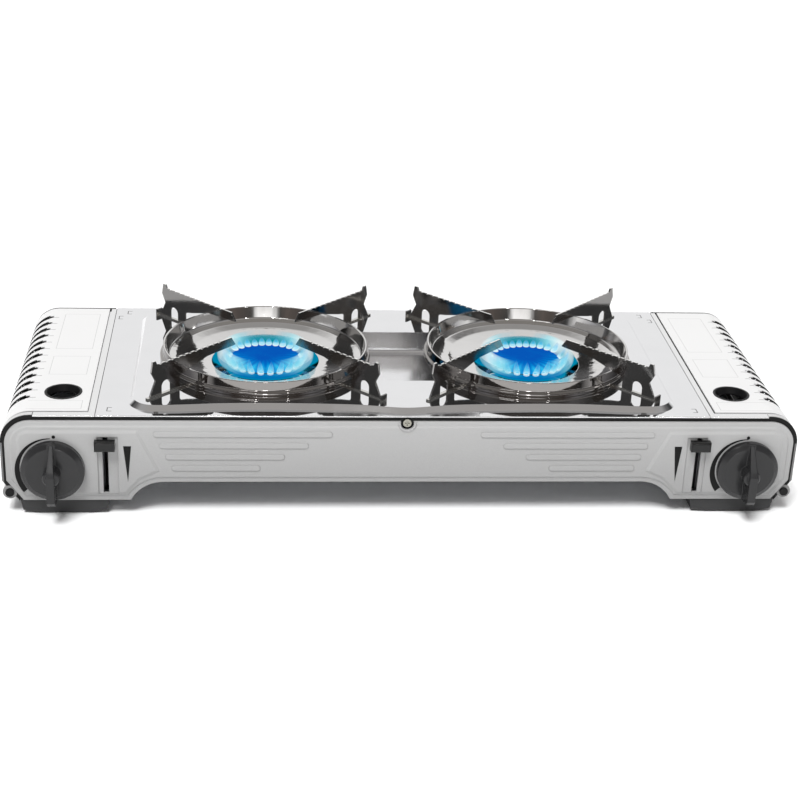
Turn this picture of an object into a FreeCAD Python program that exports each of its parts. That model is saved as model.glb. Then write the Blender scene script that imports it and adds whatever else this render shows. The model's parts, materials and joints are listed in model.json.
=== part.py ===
import FreeCAD, Part
import math
import os

V = FreeCAD.Vector

# ---------------------------------------------------------------- dimensions (mm)
# Origin: middle of the stove's footprint on the ground. +Z up, -Y is the side with the knobs.

SHEET = 1.0                 # folded steel sheet of the body
BODY_TOP = 91.0             # top of the lids and of the flat border of the top plate
PANEL_HALF_W = 336.0        # front panel, half width
PANEL_TOP = 87.0            # front panel, top edge
PANEL_END_BOTTOM = 13.5     # bottom edge below the gas compartments
CORNER_X, CORNER_Z = 315.0, 66.0    # centre of the rounded upper outer corner
PANEL_CORNER_R = 21.0
ARCH_X, ARCH_Z, ARCH_R = 205.0, -0.5, 31.0   # concave arc that raises the middle of the bottom edge
CHAMFER_TOP = (336.0, 32.0)         # lower outer corner is cut off between these two points (x, z)
CHAMFER_FOOT = (322.5, 13.5)
FRAME_GROW = 4.0            # black end frames stand this far outside the panel outline

PANEL_FACE_Y = -115.4       # raised control field of the front panel
PANEL_FIELD_Y = -114.2
FIELD_SLOPE = 2.4           # width of the sloped border round a control field
RIB_R, RIB_HEIGHT = 2.5, 0.7
# each rib: height of its middle line, inner end, outer end
RIB_ROWS = ((75.5, 63.0, 213.0), (65.0, 83.0, 208.0), (54.5, 103.0, 203.0), (44.0, 123.5, 198.0))
PANEL_RIM_Y = -113.2
PANEL_BACK_Y = -112.0
FRAME_FRONT_Y = (-111.0, -106.5)
TRAY_Y = (-106.5, 136.5)
FRAME_REAR_Y = (136.5, 138.0)
REAR_FACE_Y = 139.2
LID_Y = (-101.0, 136.0)
PLATE_Y = (-111.0, 138.0)
TRAY_INSET = 2.0
TRAY_LIP_Z = 28.0           # the sides beside the compartments end this low
TRAY_INNER_TOP = 60.0       # front and rear walls of the tray
FLOOR_Z = PANEL_END_BOTTOM + TRAY_INSET + SHEET     # inner floor below the compartments
SPINDLE_HOLE_R = 6.0
FOOT_X = (251.0, 325.5)     # outer ends of a foot at its top
FOOT_DEPTHS = ((-111.5, -80.0), (104.0, 128.0))     # front and rear feet, y range
FOOT_TOP_Z = 13.2
FOOT_SEAT_FRONT_Y = -106.0
SCREW_HEAD_R, SCREW_HEAD_H, SCREW_SHANK_R = 3.6, 1.8, 2.1
FRONT_SCREW_Z = 85.5        # the screw sits in a half-round notch of the panel's top edge
NOTCH_R, NOTCH_BEAD_R = 5.6, 8.8
REAR_SCREW_X, REAR_SCREW_Z = 220.0, 70.0

LID_INNER_X = 267.5
LID_SIDE_X = 340.0
LID_CORNER_R = 25.0
HINGE_X, HINGE_Z = 334.0, 20.0
HINGE_BARREL_R = 6.0
HINGE_BORE_R = 2.3
HINGE_PIN_R = 2.0
HINGE_CAP_R = 3.7
VIEW_HOLE = (291.5, -62.0, 15.0)    # x, y, radius of the hole that shows the cartridge collar
VENT_COUNT, VENT_FIRST_Y, VENT_PITCH, VENT_W = 13, 115.0, -15.5, 6.4
VENT_TOP_X, VENT_LOW_Z = 321.5, 56.0    # a vent runs over the shoulder between these two ends
COLLAR_INNER_R = 11.5
SHIELD_X = (262.0, 263.0)
SHIELD_REST = (261.2, 265.7)        # strip beside the top plate, with a sunken rest for the lid edge
LEDGE_END_X, LEDGE_BACK_Y = 312.0, -103.4   # the strip turns outwards in front of the lid

PLATE_HALF_W = 260.7
PLATFORM_Z = 95.0
PLATFORM_HALF_W = 231.0
PLATFORM_CORNER_R = 18.0
PLATFORM_SLOPE = 4.5
PLATFORM_HALF_D = 111.0     # platform front edge to its middle, at the corners
BODY_MID_Y = 13.0
RECESS_FLOOR_Z = 75.0
RECESS_R = 84.0
TROUGH_HALF_D = 57.0

BURNER_X = 119.0
BURNER_HEAD_R = 29.5
BURNER_NECK_R = 17.0
MIX_TUBE_Z = 56.0
MIX_TUBE_R = 11.0
ELECTRODE_R = 38.0          # distance of the spark electrode from the burner axis
ELECTRODE_ANGLE = 60.0

KNOB_X, KNOB_Z = 296.5, 44.0
KNOB_R = 26.5
KNOB_FLAT_R = 22.0          # inside this radius the disc is flat, outside it slopes back
KNOB_BACK_Y, KNOB_RIM_Y, KNOB_DISC_Y, KNOB_GRIP_Y = -116.0, -122.0, -124.0, -141.0
KNOB_BOSS_R, KNOB_BOSS_Y = 7.2, -136.5
GRIP_HALF_W, POINTER_HALF_W = 3.4, 1.6
GRIP_REACH = (-25.0, 26.3)  # below and above the knob axis
TAP_OPENING = 128.0         # angle covered by the dial crescent
SPINDLE_R = 3.0
SPINDLE_FRONT_Y = -129.0
SPINDLE_BORE_R = 3.05

LEVER_X = 253.0
LEVER_Z = 67.0              # lever at rest, pulled up and unlocked
LEVER_TAB = (8.5, 4.4)      # half width and half height of the finger tab
LEVER_TAB_Y = (-123.0, -115.8)
LEVER_SLOT_Z = (21.0, 72.6)
CHANNEL_X, CHANNEL_HALF_W, CHANNEL_Z = 250.9, 8.5, (20.4, 73.2)
LEVER_TRAVEL = 40.0
LEVER_SLOT_W = 4.6
LEVER_PIN_Y = -94.0
BLADE_FRONT_Y = -111.6
LEVER_PIN_R = 2.0
PUSHER_TRAVEL = 6.0
ROD_X = (256.0, 257.5)

CARTRIDGE_X, CARTRIDGE_Z, CARTRIDGE_R = 300.0, 51.0, 33.3
REGULATOR_X = (279.0, 315.0)
REGULATOR_Z = (30.0, 66.0)
REGULATOR_BACK_Y = -68.0
PORT_R, PORT_BOTTOM_Y = 3.5, -76.0
OUTLET_Y = -74.0            # gas pipe leaves the regulator here
PIPE_R, PIPE_X = 3.0, 238.0
JET_X = 221.0
MIX_TUBE_REACH = 88.0

BOWL_SEAT_Z = 95.0
BOWL_RIM_Z = 107.6
BOWL_HOLE_R = 48.0
ARM_TOP_Z, ARM_HORN_Z = 124.0, 127.4
ARM_SHEET = 1.5
ARM_ANGLES = (45.0, 135.0, 225.0, 315.0)
TAB_ANGLES = (135.0, 315.0)         # arms with a locating tab on the foot


# ---------------------------------------------------------------- helpers
def box(x0, x1, y0, y1, z0, z1):
    return Part.makeBox(x1 - x0, y1 - y0, z1 - z0, V(x0, y0, z0))


def rod(start, axis, radius, length):
    return Part.makeCylinder(radius, length, V(*start), V(*axis))


def prism_xz(points, y0, y1):
    """Polygon of (x, z) points, extruded from y0 to y1."""
    wire = Part.makePolygon([V(x, y0, z) for x, z in points + points[:1]])
    return Part.Face(wire).extrude(V(0, y1 - y0, 0))


def prism_yz(points, x0, x1):
    """Polygon of (y, z) points, extruded from x0 to x1."""
    wire = Part.makePolygon([V(x0, y, z) for y, z in points + points[:1]])
    return Part.Face(wire).extrude(V(x1 - x0, 0, 0))


def turned(points, x, y):
    """Closed (radius, z) profile turned about the vertical line through x, y."""
    wire = Part.makePolygon([V(x + r, y, z) for r, z in points + points[:1]])
    return Part.Face(wire).revolve(V(x, y, 0), V(0, 0, 1), 360)


def arc(cx, cz, radius, start, end, y):
    """Arc in an XZ plane from one angle to another, in degrees from +X towards +Z."""
    def at(angle):
        a = math.radians(angle)
        return V(cx + radius * math.cos(a), y, cz + radius * math.sin(a))
    return Part.Arc(at(start), at((start + end) / 2), at(end)).toShape()


def mirrored(shape):
    return shape.mirror(V(0, 0, 0), V(1, 0, 0))


def both(shape):
    """The shape and its mirror image on the other side, as one list."""
    return [shape, mirrored(shape)]


def fused(shapes):
    first = shapes[0]
    return first.fuse(shapes[1:]).removeSplitter() if len(shapes) > 1 else first


def bent_pipe(points, radius, bend):
    """Round bar along a chain of points, with bends of one radius at the inner points."""
    pts = [V(*p) for p in points]
    edges, here = [], pts[0]
    for before, corner, after in zip(pts, pts[1:], pts[2:]):
        inward, outward = (before - corner).normalize(), (after - corner).normalize()
        half = inward.getAngle(outward) / 2
        reach = bend / math.tan(half)
        start, end = corner + inward * reach, corner + outward * reach
        middle_dir = (inward + outward).normalize()
        middle = corner + middle_dir * (bend / math.sin(half) - bend)
        edges += [Part.makeLine(here, start), Part.Arc(start, middle, end).toShape()]
        here = end
    edges.append(Part.makeLine(here, pts[-1]))
    path = Part.Wire(edges)
    circle = Part.makeCircle(radius, pts[0], pts[1] - pts[0])
    return path.makePipeShell([Part.Wire(circle)], True, True)


# ---------------------------------------------------------------- outline of the front and rear
def outline(inset, y0, y1):
    """Solid with the front panel's outline, moved inwards by inset, from y0 to y1."""
    top, side, bottom = PANEL_TOP - inset, PANEL_HALF_W - inset, PANEL_END_BOTTOM + inset
    nx = CHAMFER_TOP[1] - CHAMFER_FOOT[1]
    nz = CHAMFER_FOOT[0] - CHAMFER_TOP[0]
    length = math.hypot(nx, nz)
    nx, nz = nx / length, nz / length
    reach = nx * CHAMFER_FOOT[0] + nz * CHAMFER_FOOT[1] - inset
    chamfer_z = (reach - nx * side) / nz
    chamfer_x = (reach - nz * bottom) / nx
    arch_r = ARCH_R + inset
    arch_x = ARCH_X + math.sqrt(arch_r ** 2 - (bottom - ARCH_Z) ** 2)
    arch_angle = math.degrees(math.atan2(bottom - ARCH_Z, arch_x - ARCH_X))
    middle_z = ARCH_Z + arch_r

    def line(a, b):
        return Part.makeLine(V(a[0], y0, a[1]), V(b[0], y0, b[1]))

    half = [line((0, top), (CORNER_X, top)),
            arc(CORNER_X, CORNER_Z, PANEL_CORNER_R - inset, 90, 0, y0),
            line((side, CORNER_Z), (side, chamfer_z)),
            line((side, chamfer_z), (chamfer_x, bottom)),
            line((chamfer_x, bottom), (arch_x, bottom)),
            arc(ARCH_X, ARCH_Z, arch_r, arch_angle, 90, y0),
            line((ARCH_X, middle_z), (0, middle_z))]
    other = [edge.mirror(V(0, 0, 0), V(1, 0, 0)) for edge in half]
    wire = Part.Wire(Part.__sortEdges__(half + other))
    return Part.Face(wire).extrude(V(0, y1 - y0, 0))


def bevelled_outline(inset, slope, y_back, y_front):
    """The same outline as a low raised field whose edge slopes inwards towards the front."""
    back = outline(inset, y_back, y_back + 1).Faces
    front = outline(inset + slope, y_front, y_front + 1).Faces
    flat_back = min(back, key=lambda f: f.CenterOfMass.y)
    flat_front = min(front, key=lambda f: f.CenterOfMass.y)
    return Part.makeLoft([flat_back.OuterWire, flat_front.OuterWire], True, True)


# ---------------------------------------------------------------- body
def base_tray():
    """Floor pan with closed ends; its sides are low so that a lid opens the whole compartment."""
    y0, y1 = TRAY_Y
    tray = outline(TRAY_INSET, y0, y1)
    tray = tray.cut(outline(TRAY_INSET + SHEET, y0 + SHEET, y1 - SHEET))
    tray = tray.cut(both(box(300, 400, y0 + SHEET, y1 - SHEET, TRAY_LIP_Z, 120)))
    tray = tray.cut(box(-400, 400, y0 + SHEET, y1 - SHEET, TRAY_INNER_TOP, 120))
    cuts = []
    for side in (-1, 1):
        cuts.append(rod((side * KNOB_X, y0 - 1, KNOB_Z), (0, 1, 0), SPINDLE_HOLE_R, 4))
        slot_x = side * LEVER_X
        cuts.append(box(slot_x - 2.5, slot_x + 2.5, y0 - 1, y0 + 2, LEVER_SLOT_Z[0] - 1, 76))
        for row in range(5):
            vent_y = -40 + row * 25
            cuts.append(box(side * CARTRIDGE_X - 14, side * CARTRIDGE_X + 14, vent_y, vent_y + 4, 0, 18))
    for x in (-60, 0, 60):
        cuts.append(box(x - 18, x + 18, y1 - 3, y1 + 1, 52, 58))
    return tray.cut(cuts)


def inset_polygon(points, distance):
    """Closed (x, z) polygon, listed clockwise, with every side moved inwards by one distance."""
    moved = []
    for before, here, after in zip(points[-1:] + points[:-1], points, points[1:] + points[:1]):
        normals = []
        for start, end in ((before, here), (here, after)):
            length = math.hypot(end[0] - start[0], end[1] - start[1])
            normals.append(((end[1] - start[1]) / length, (start[0] - end[0]) / length))
        (ax, az), (bx, bz) = normals
        scale = distance / (1 + ax * bx + az * bz)
        moved.append((here[0] + (ax + bx) * scale, here[1] + (az + bz) * scale))
    return moved


def control_field(y_back, y_front):
    """Raised field with a sloped border around a knob and its lever, right-hand side."""
    foot_line = [(226.0, 79), (318, 79), (324, 76.5), (326.4, 70), (326.4, 30), (317.5, 19.2),
                 (237, 19.2), (224.5, 33), (207.8, 41)]
    loops = []
    for y, points in ((y_back, foot_line), (y_front, inset_polygon(foot_line, FIELD_SLOPE))):
        loops.append(Part.makePolygon([V(x, y, z) for x, z in points + points[:1]]))
    return Part.makeLoft(loops, True, True)


def pressed_rib(x0, x1, z):
    """Low rounded bar standing out of the panel field."""
    y = PANEL_FIELD_Y - RIB_HEIGHT
    bar = box(x0 + RIB_R, x1 - RIB_R, y, PANEL_FIELD_Y, z - RIB_R, z + RIB_R)
    ends = [rod((x, y, z), (0, 1, 0), RIB_R, RIB_HEIGHT) for x in (x0 + RIB_R, x1 - RIB_R)]
    return fused([bar] + ends)


def notch_bead():
    """Raised half-round border of the screw notch in the panel's top edge."""
    bead = Part.makeCone(NOTCH_BEAD_R, NOTCH_BEAD_R - 1.6, PANEL_BACK_Y - PANEL_FACE_Y - 0.5,
                         V(0, PANEL_BACK_Y, FRONT_SCREW_Z), V(0, -1, 0))
    return bead.cut(box(-20, 20, PANEL_FACE_Y - 1, PANEL_BACK_Y + 1, PANEL_TOP - 0.4, 100))


def front_panel():
    """Pressed front cover: rim, raised field, two control fields, ribs, slots and spindle holes."""
    plate = outline(0, PANEL_RIM_Y, PANEL_BACK_Y)
    flange = outline(0, PANEL_BACK_Y, FRAME_FRONT_Y[0]).cut(
        outline(1.2, PANEL_BACK_Y, FRAME_FRONT_Y[0]))
    field = bevelled_outline(4.0, 1.2, PANEL_RIM_Y, PANEL_FIELD_Y)
    pads = both(control_field(PANEL_FIELD_Y, PANEL_FACE_Y))
    ribs = []
    for z, x0, x1 in RIB_ROWS:
        ribs += both(pressed_rib(x0, x1, z))
    panel = fused([plate, flange, field, notch_bead()] + pads + ribs)
    outside_y = PANEL_FACE_Y - 2
    cuts = [rod((0, outside_y, FRONT_SCREW_Z), (0, 1, 0), NOTCH_R, 8)]
    for side in (-1, 1):
        x, channel_x = side * LEVER_X, side * CHANNEL_X
        cuts.append(box(channel_x - CHANNEL_HALF_W, channel_x + CHANNEL_HALF_W, outside_y,
                        PANEL_FIELD_Y, *CHANNEL_Z))
        cuts.append(box(x - LEVER_SLOT_W / 2, x + LEVER_SLOT_W / 2, outside_y,
                        FRAME_FRONT_Y[0] + 1, *LEVER_SLOT_Z))
        cuts.append(rod((side * KNOB_X, outside_y, KNOB_Z), (0, 1, 0), SPINDLE_HOLE_R, 8))
    return panel.cut(cuts)


def end_frame(y0, y1, ledge_x):
    """Black moulded frame between the sheet body and the end panel; its ears carry the hinges."""
    parts = [outline(-FRAME_GROW, y0, y1)]
    for side in (-1, 1):
        parts.append(rod((side * HINGE_X, y0, HINGE_Z), (0, 1, 0), HINGE_BARREL_R, y1 - y0))
    frame = fused(parts)
    cuts = [outline(FRAME_GROW, y0, y1), box(-326, 326, y0, y1, 0, 60),
            box(-ledge_x, ledge_x, y0, y1, BODY_TOP - SHEET, 100)]
    for side in (-1, 1):
        cuts.append(rod((side * HINGE_X, y0 - 1, HINGE_Z), (0, 1, 0), HINGE_PIN_R, y1 - y0 + 2))
    return frame.cut(cuts)


def end_frame_front():
    """Front frame with its screw hole and a rim behind each corner that the lid closes against."""
    y0, y1 = FRAME_FRONT_Y
    frame = end_frame(y0, y1, LEDGE_END_X + 0.5)
    rim = outline(-FRAME_GROW, y1, LEDGE_BACK_Y).cut(
        [outline(-1, y1, LEDGE_BACK_Y), box(-LEDGE_END_X - 0.5, LEDGE_END_X + 0.5, y1, LEDGE_BACK_Y, 0, 120),
         box(-326, 326, y1, LEDGE_BACK_Y, 0, 60)])
    ears = [rod((side * HINGE_X, y1, HINGE_Z), (0, 1, 0), HINGE_BARREL_R, LEDGE_BACK_Y - y1)
            for side in (-1, 1)]
    cuts = [rod((0, y0 - 1, FRONT_SCREW_Z), (0, 1, 0), SCREW_SHANK_R, 6)]
    for side in (-1, 1):
        cuts.append(rod((side * HINGE_X, y1 - 1, HINGE_Z), (0, 1, 0), HINGE_PIN_R, 6))
    return fused([frame, rim] + ears).cut(cuts)


def rear_panel():
    """Plain rear cover with louvre slots and screw holes."""
    panel = outline(0, FRAME_REAR_Y[1], REAR_FACE_Y)
    cuts = []
    for row in range(3):
        z = 44 + row * 9
        for x in (-150, -90, -30, 30, 90, 150):
            cuts.append(box(x - 22, x + 22, 137, 142, z, z + 4))
    for x in (-REAR_SCREW_X, REAR_SCREW_X):
        cuts.append(rod((x, 137, REAR_SCREW_Z), (0, 1, 0), SCREW_SHANK_R, 4))
    return panel.cut(cuts)


def platform_wire(grow, z):
    """Outline of the raised platform: straight sides, round corners, gently waved front and rear."""
    half_w = PLATFORM_HALF_W + grow
    corner_r = PLATFORM_CORNER_R + grow
    cx = PLATFORM_HALF_W - PLATFORM_CORNER_R
    depth = PLATFORM_HALF_D
    wave = ((cx, depth), (166.0, depth - 3.2), (BURNER_X, depth - 5.0), (70.0, depth - 3.6),
            (30.0, depth - 0.5), (0.0, depth + 4.0))
    quarter = [(x, d + grow) for x, d in wave]
    whole = quarter + [(-x, d) for x, d in quarter[-2::-1]]

    def edge_curve(sign):
        curve = Part.BSplineCurve()
        pts = [V(x, BODY_MID_Y + sign * d, z) for x, d in whole]
        curve.interpolate(Points=pts, InitialTangent=V(-1, 0, 0), FinalTangent=V(-1, 0, 0))
        return curve.toShape()

    def corner(sx, sy):
        c = V(sx * cx, BODY_MID_Y + sy * (depth - PLATFORM_CORNER_R), z)
        k = corner_r * math.sqrt(0.5)
        return Part.Arc(c + V(sx * corner_r, 0, 0), c + V(sx * k, sy * k, 0),
                        c + V(0, sy * corner_r, 0)).toShape()

    straight = depth - PLATFORM_CORNER_R
    edges = [edge_curve(-1), edge_curve(1)]
    for sx in (-1, 1):
        edges.append(Part.makeLine(V(sx * half_w, BODY_MID_Y - straight, z),
                                   V(sx * half_w, BODY_MID_Y + straight, z)))
        edges += [corner(sx, -1), corner(sx, 1)]
    return Part.Wire(Part.__sortEdges__(edges))


def platform(drop):
    low = platform_wire(PLATFORM_SLOPE, BODY_TOP - drop)
    high = platform_wire(0, PLATFORM_Z - drop)
    return Part.makeLoft([low, high], True, False)


def recess(grow, floor_z, bottom_fillet):
    """Sunken space that runs round both burners and across between them."""
    radius, half_d, top = RECESS_R + grow, TROUGH_HALF_D + grow, PLATFORM_Z - SHEET * (grow > 0)
    parts = [rod((side * BURNER_X, BODY_MID_Y, floor_z), (0, 0, 1), radius, top - floor_z)
             for side in (-1, 1)]
    parts.append(box(-BURNER_X, BURNER_X, BODY_MID_Y - half_d, BODY_MID_Y + half_d, floor_z, top))
    hollow = fused(parts)
    floor_edges = [e for e in hollow.Edges
                   if abs(e.BoundBox.ZMax - floor_z) < 1e-6 and e.BoundBox.ZLength < 1e-6]
    return hollow.makeFillet(bottom_fillet, floor_edges)


def top_plate():
    """Bright top sheet: flat border, raised platform, sunken recess with burner openings."""
    border = box(-PLATE_HALF_W, PLATE_HALF_W, *PLATE_Y, BODY_TOP - SHEET, BODY_TOP)
    flanges = both(box(PLATE_HALF_W - SHEET, PLATE_HALF_W, -104, 134, 84, BODY_TOP))
    raised = platform(0)
    plate = fused([border, raised] + flanges).cut(platform(SHEET))
    well = recess(SHEET, RECESS_FLOOR_Z - SHEET, 5.0)
    plate = plate.fuse(well)
    plate = plate.cut(recess(0, RECESS_FLOOR_Z, 4.0))
    cuts = []
    for side in (-1, 1):
        bx = side * BURNER_X
        cuts.append(rod((bx, BODY_MID_Y, 70), (0, 0, 1), BURNER_NECK_R + 3, 10))
        ex, ey = electrode_at(side)
        cuts.append(rod((ex, ey, 70), (0, 0, 1), 3.4, 10))
        for angle in range(15, 360, 30):
            a = math.radians(angle)
            cuts.append(rod((bx + 66 * math.cos(a), BODY_MID_Y + 66 * math.sin(a), 70), (0, 0, 1), 5, 10))
    return plate.cut(cuts).removeSplitter()


def heat_shield():
    """Wall beside the right gas compartment, with a rest for the lid edge and a ledge in front of it."""
    y0, y1 = TRAY_Y[0] + SHEET, TRAY_Y[1] - SHEET
    rest_z = BODY_TOP - 2.6
    wall = box(*SHIELD_X, y0, y1, FLOOR_Z, BODY_TOP)
    strip = box(*SHIELD_REST, y0, y1, BODY_TOP - SHEET, BODY_TOP)
    drop = box(SHIELD_REST[1] - SHEET, SHIELD_REST[1], y0, y1, rest_z, BODY_TOP)
    lip = box(SHIELD_REST[1] - SHEET, 270, y0, y1, rest_z, rest_z + SHEET)
    ledge = box(SHIELD_REST[0], LEDGE_END_X, FRAME_FRONT_Y[0], LEDGE_BACK_Y, BODY_TOP - SHEET, BODY_TOP)
    shield = fused([wall, strip, drop, lip, ledge])
    cuts = [rod((SHIELD_X[0] - 2, OUTLET_Y, MIX_TUBE_Z), (1, 0, 0), 5, 5),
            box(261, 264, 118.5, 129, 36, 48)]
    for row in range(5):
        vent_y = -40 + row * 32
        cuts.append(box(261, 264, vent_y, vent_y + 18, 66, 70))
    return shield.cut(cuts)


def cartridge_cradle():
    """Two saddles on a common base that carry the right gas cartridge."""
    cradle = box(286, 314, -50, 105, FLOOR_Z, FLOOR_Z + SHEET)
    for y in (-20.0, 85.0):
        saddle = box(270, 320, y, y + 2, FLOOR_Z, TRAY_LIP_Z)
        cradle = cradle.fuse(saddle)
    cradle = cradle.cut(rod((CARTRIDGE_X, -60, CARTRIDGE_Z), (0, 1, 0), CARTRIDGE_R, 180))
    vents = [box(CARTRIDGE_X - 10, CARTRIDGE_X + 10, -40 + row * 25, -36 + row * 25, 10, 20)
             for row in range(5)]
    return cradle.cut(vents).removeSplitter()


def foot(y0, y1):
    """Moulded foot on the right, wide from side to side, with a slightly crowned sole."""
    x0, x1 = FOOT_X
    sole = [(x0, FOOT_TOP_Z), (x0 + 2.2, 2.2), (x0 + 16, 0), (x1 - 16, 0), (x1 - 2.2, 2.2), (x1, FOOT_TOP_Z)]
    body = prism_xz(sole, y0, y1)
    low_edges = [e for e in body.Edges if e.BoundBox.ZMax < 2.3 and e.BoundBox.YLength < 0.1]
    body = body.makeChamfer(1.5, low_edges)
    seat = box(x0 + 4, x1 - 8, max(y0, FOOT_SEAT_FRONT_Y), y1, FOOT_TOP_Z, FLOOR_Z - SHEET)
    return body.fuse(seat).removeSplitter()


def feet():
    pieces = []
    for y0, y1 in FOOT_DEPTHS:
        pieces += both(foot(y0, y1))
    return Part.makeCompound(pieces)


def hinge_pin():
    """Right hinge rod through both end frames, with a round cap at the front."""
    y0, y1 = FRAME_FRONT_Y[0], FRAME_REAR_Y[1]
    shaft = rod((HINGE_X, y0, HINGE_Z), (0, 1, 0), HINGE_PIN_R, y1 - y0)
    cap = rod((HINGE_X, y0 - 1.8, HINGE_Z), (0, 1, 0), HINGE_CAP_R, 1.8)
    return fused([shaft, cap])


# ---------------------------------------------------------------- lids
def rounded_block(inset, x0, z0, y0, y1):
    """Block whose upper outer edge is rounded like a lid, right-hand side."""
    radius = LID_CORNER_R - inset
    side, top = LID_SIDE_X - inset, BODY_TOP - inset
    flat = box(x0, CORNER_X, y0, y1, z0, top)
    outer = box(x0, side, y0, y1, z0, CORNER_Z)
    corner = rod((CORNER_X, y0, CORNER_Z), (0, 1, 0), radius, y1 - y0)
    return fused([flat, outer, corner])


def lid():
    """Right compartment lid: flat top, round shoulder and side down to the hinge barrel."""
    y0, y1 = LID_Y
    shell = rounded_block(0, LID_INNER_X, HINGE_Z, y0, y1)
    shell = shell.cut(rounded_block(SHEET, LID_INNER_X - 5, HINGE_Z - 5, y0 - 1, y1 + 1))
    barrel = rod((HINGE_X, y0, HINGE_Z), (0, 1, 0), HINGE_BARREL_R, y1 - y0)
    shell = shell.fuse(barrel)
    x, y, radius = VIEW_HOLE
    cuts = [rod((HINGE_X, y0 - 1, HINGE_Z), (0, 1, 0), HINGE_BORE_R, y1 - y0 + 2),
            rod((x, y, 80), (0, 0, 1), radius, 20)]
    half = VENT_W / 2
    for row in range(VENT_COUNT):
        vy = VENT_FIRST_Y + row * VENT_PITCH
        cuts.append(box(VENT_TOP_X, 345, vy - half, vy + half, VENT_LOW_Z, 95))
        cuts.append(rod((VENT_TOP_X, vy, 80), (0, 0, 1), half, 15))
        cuts.append(rod((330, vy, VENT_LOW_Z), (1, 0, 0), half, 15))
    return shell.cut(cuts).removeSplitter()


def lid_collar():
    """Dished black collar pressed into the view hole of the right lid."""
    x, y, radius = VIEW_HOLE
    profile = [(radius + 1.0, BODY_TOP), (radius + 1.0, BODY_TOP + 0.5), (radius - 0.8, BODY_TOP + 0.5),
               (COLLAR_INNER_R, 86.6), (COLLAR_INNER_R, 85.4), (COLLAR_INNER_R + 1.1, 85.4),
               (radius, BODY_TOP - 1.2), (radius, BODY_TOP)]
    return turned(profile, x, y)


# ---------------------------------------------------------------- knob, lever, gas train
def knob_disc(x):
    """Round plate of a knob whose front slopes back towards the rim."""
    profile = [(0, KNOB_BACK_Y), (KNOB_R, KNOB_BACK_Y), (KNOB_R, KNOB_RIM_Y + 0.8),
               (KNOB_R - 0.8, KNOB_RIM_Y), (KNOB_FLAT_R, KNOB_DISC_Y), (0, KNOB_DISC_Y)]
    wire = Part.makePolygon([V(x + r, y, KNOB_Z) for r, y in profile + profile[:1]])
    return Part.Face(wire).revolve(V(x, 0, KNOB_Z), V(0, 1, 0), 360)


def knob_grip(x):
    """Upright grip bar whose upper end narrows to the pointer."""
    low, high = GRIP_REACH
    side_view = [(KNOB_DISC_Y + 1, high), (KNOB_DISC_Y - 1.4, high), (-138.5, 7.0), (KNOB_GRIP_Y, 3.0),
                 (KNOB_GRIP_Y, -20.0), (-138.5, low + 1.5), (KNOB_DISC_Y + 1, low)]
    bar = prism_yz([(y, KNOB_Z + z) for y, z in side_view], x - GRIP_HALF_W, x + GRIP_HALF_W)
    taper = []
    for side in (-1, 1):
        corners = ((GRIP_HALF_W, 2), (POINTER_HALF_W, 27), (GRIP_HALF_W + 3, 27), (GRIP_HALF_W + 3, 2))
        points = [V(x + side * half, -150, KNOB_Z + z) for half, z in corners + corners[:1]]
        taper.append(Part.Face(Part.makePolygon(points)).extrude(V(0, 26, 0)))
    return bar.cut(taper)


def knob(x):
    """Disc, grip and boss in one moulding, bored from behind for the spindle."""
    boss = rod((x, KNOB_BOSS_Y, KNOB_Z), (0, 1, 0), KNOB_BOSS_R, KNOB_DISC_Y - KNOB_BOSS_Y)
    boss = boss.makeFillet(2.0, [e for e in boss.Edges if e.BoundBox.YMax < KNOB_BOSS_Y + 0.1])
    body = fused([knob_disc(x), knob_grip(x), boss])
    return body.cut(rod((x, SPINDLE_FRONT_Y, KNOB_Z), (0, 1, 0), SPINDLE_R, 20))


def spindle(x):
    """Valve spindle from inside the knob to inside the regulator."""
    return rod((x, SPINDLE_FRONT_Y, KNOB_Z), (0, 1, 0), SPINDLE_R, 37)


def regulator():
    """Right pressure regulator with its tap, the port that the cartridge valve meets, and outlet."""
    y0 = TRAY_Y[0] + SHEET
    block = box(*REGULATOR_X, y0, REGULATOR_BACK_Y, *REGULATOR_Z)
    block = block.makeFillet(4, [e for e in block.Edges if e.BoundBox.YLength > 30])
    collar = rod((CARTRIDGE_X, REGULATOR_BACK_Y, CARTRIDGE_Z), (0, 1, 0), 12, 3)
    outlet = rod((REGULATOR_X[0] - 7, OUTLET_Y, MIX_TUBE_Z), (1, 0, 0), PIPE_R + 1.6, 8)
    cap = rod((CARTRIDGE_X, -84, REGULATOR_Z[1] - 1), (0, 0, 1), 12, 6)
    body = fused([block, collar, outlet, cap])
    cuts = [rod((KNOB_X, y0 - 1, KNOB_Z), (0, 1, 0), SPINDLE_BORE_R, 16),
            rod((CARTRIDGE_X, PORT_BOTTOM_Y, CARTRIDGE_Z), (0, 1, 0), PORT_R, 14),
            rod((REGULATOR_X[0] - 8, OUTLET_Y, MIX_TUBE_Z), (1, 0, 0), PIPE_R, 6)]
    return body.cut(cuts)


def gas_pipe():
    """Steel pipe from the right regulator to the jet at the burner's mixing tube."""
    route = [(REGULATOR_X[0] - 2, OUTLET_Y), (PIPE_X, OUTLET_Y), (PIPE_X, BODY_MID_Y),
             (JET_X + 5, BODY_MID_Y)]
    return bent_pipe([(x, y, MIX_TUBE_Z) for x, y in route], PIPE_R, 8.0)


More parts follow.
